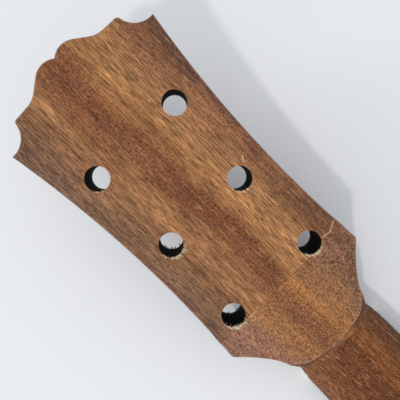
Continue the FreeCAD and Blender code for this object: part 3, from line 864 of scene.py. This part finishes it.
# %% Hanging splinters
def hanging_splinters(bm, bore, count, middle_deg, spread_deg):
    """Stubs of wood that the drill left standing into the bore at its far mouth."""
    mouth = Vector(bore["pos_m"]) - back_normal * (plate / 2 - 0.3 * MM)
    for _ in range(count):
        outward = round_the_rim(middle_deg, spread_deg)
        way = (-outward + head_up * random.uniform(-0.3, 0.3)).normalized()
        root = mouth + outward * (bore_radius + 0.1 * MM)
        sliver(bm, root, way, random.uniform(0.7, 1.5) * MM, random.uniform(0.4, 0.8) * MM)


bm = bmesh.new()
hanging_splinters(bm, mounts["machine_head_bore_2_treble"], 12, -45, 28)
hanging_splinters(bm, mounts["machine_head_bore_1_treble"], 5, -45, 25)
stubs = one_object("hanging_splinters", bm)
# The stubs take the bore walls' near-black painted shade.
stubs.data.materials.append(bore_wall_painted_shade)
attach(stubs, "neck")
print("hanging splinters:", len(stubs.data.polygons), "faces")

# %% [markdown]
# ## Rosewood
# The fretboard and the thin veneer on the headstock's face are rosewood: hard, dark purple-brown, with
# nearly black streaks and open pores. It is oiled, so it is smoother and a little glossier than the mahogany.
# The mahogany's function could make it with other bands, but rosewood needs far fewer layers. The CAD shapes
# are right as they are, so they only change their material.


# %% Rosewood
def rosewood(name, tilt):
    """Oiled rosewood: broad bands, fine streaks and small pores."""
    material, tree, shader = new_material(name, Roughness=0.48, Specular_IOR_Level=0.4)
    place = grain_frame(tree, tilt)
    bands = grain_pattern(tree, place, (160, 5.0), 6.0, 3, (0.35, 0.65))
    streaks = grain_pattern(tree, place, (45, 0.9), 8.0, 2, (0.35, 0.65), (0.6, 1.3))
    pores = open_pores(tree, place, (5.0, 0.8), 0.0, (0.12, 0.24))
    dark_pores = add_node(tree, "ShaderNodeMath", [pores, 0.7], operation="MULTIPLY")
    wood = linear("2c1914")
    for strength, tone, blend in (
        (bands, linear("5a362a"), "MIX"),
        (1.0, streaks, "MULTIPLY"),
        (dark_pores, linear("120a08"), "MIX"),
    ):
        wood = add_node(tree, "ShaderNodeMix", {0: strength, 6: wood, 7: tone}, blend_type=blend, **COLOUR_MIX)
    tree.links.new(wood, shader.inputs["Base Color"])
    bump = add_node(tree, "ShaderNodeBump", {"Height": pores, "Strength": 0.4, "Distance": -0.08 * MM})
    tree.links.new(bump, shader.inputs["Normal"])
    return material


def dress(node_name, material):
    """Gives a CAD node a material; its shape stays as it is."""
    mesh = frame["nodes"][node_name].data
    mesh.materials.clear()
    mesh.materials.append(material)


dress("fretboard", rosewood("oiled_rosewood_fretboard", 0.0))
dress("headstock_veneer", rosewood("oiled_rosewood_veneer", lean))
print("rosewood on the fretboard and the veneer")

# %% [markdown]
# ## Bone, pearloid and plastic
# The nut is bone, polished until it shines softly, with faint cloudy streaks left by the tiny channels in
# it. The side dots are plain ivory-coloured acrylic rod, sanded flush, so only a slight mottle shows. The
# face dots are pearloid, a celluloid whose flakes reflect in folded, milky patches. A thin-film shader could
# imitate the flakes, but on so small a dot they read as pale and grey patches, which a bent Voronoi gives.

# %% Bone, pearloid and side dots
bone = two_toned("polished_bone", "ddd2b8", "f0e8d4", (2.0, 7.0), 5.0, 3, Roughness=0.32)
ivory = two_toned("ivory_acrylic_rod", "e6ddc4", "f1ead6", (0.8, 0.8), 2.0, 2, Roughness=0.35)

pearl, tree, shader = new_material("pearloid_celluloid", Roughness=0.18, Coat_Weight=0.4)
inputs = {"Vector": grain_frame(tree, 0.0), "Scale": 0.5, "Detail": 2.0}
bend = add_node(tree, "ShaderNodeTexNoise", inputs, "Color")
inputs = {"Vector": bend, "Scale": 9.0}
flakes = add_node(tree, "ShaderNodeTexVoronoi", inputs, "Distance", feature="SMOOTH_F1")
milky = add_node(tree, "ShaderNodeMapRange", [flakes, 0.1, 0.6])
tone = add_node(tree, "ShaderNodeMix", {0: milky, 6: linear("f3f2ea"), 7: linear("b9bcb4")}, **COLOUR_MIX)
tree.links.new(tone, shader.inputs["Base Color"])

dress("nut", bone)
dots = [name for name in frame["nodes"] if name.startswith(("inlay_dot", "side_dot"))]
for name in dots:
    dress(name, pearl if name.startswith("inlay_dot") else ivory)
print("dots dressed:", len(dots))

# %% [markdown]
# ## Metals
# Fret wire is nickel silver, a slightly warm white metal. Each fret is polished along its crown, which leaves
# fine scratches across the board. The rod, its adjuster and its bar are oiled rolled steel, darker and
# streaky, and the end blocks are sawn brass. A metal's colour is its base colour, with metallic at one. An
# anisotropic shader would only stretch the highlight, so the scratches are drawn.


# %% Metals
def metal(name, dark, light, smooth, rough, size):
    """A worked metal with scratches of size (along, across) the neck in mm, smooth and rough by turns."""
    material, tree, shader = new_material(name, Metallic=1.0)
    scratches = grain_pattern(tree, grain_frame(tree, 0.0), size, 3.0, 2, (0.35, 0.65))
    tone = add_node(tree, "ShaderNodeMix", {0: scratches, 6: linear(dark), 7: linear(light)}, **COLOUR_MIX)
    tree.links.new(tone, shader.inputs["Base Color"])
    roughness = add_node(tree, "ShaderNodeMapRange", [scratches, 0.0, 1.0, smooth, rough])
    tree.links.new(roughness, shader.inputs["Roughness"])
    bump = add_node(tree, "ShaderNodeBump", {"Height": scratches, "Strength": 0.2, "Distance": 0.02 * MM})
    tree.links.new(bump, shader.inputs["Normal"])
    return material


fret_wire = metal("polished_nickel_silver_fret_wire", "b9b5a8", "d2cfc4", 0.16, 0.3, (0.25, 9.0))
rolled_steel = metal("oiled_rolled_steel", "6a6a6c", "8e8e90", 0.3, 0.5, (30.0, 0.8))
sawn_brass = metal("sawn_brass", "a8873f", "cfae62", 0.25, 0.45, (0.5, 6.0))
for name in frame["nodes"]:
    if name.startswith("fret_"):
        dress(name, fret_wire)
for name in ("truss_rod", "adjuster_nut", "return_bar"):
    dress(name, rolled_steel)
for name in ("front_block", "rear_block"):
    dress(name, sawn_brass)
print("metals:", fret_wire.name, rolled_steel.name, sawn_brass.name)

# %% [markdown]
# The carved pieces must fill the same box as the solids that they stand for.

# %% Last cell
import json
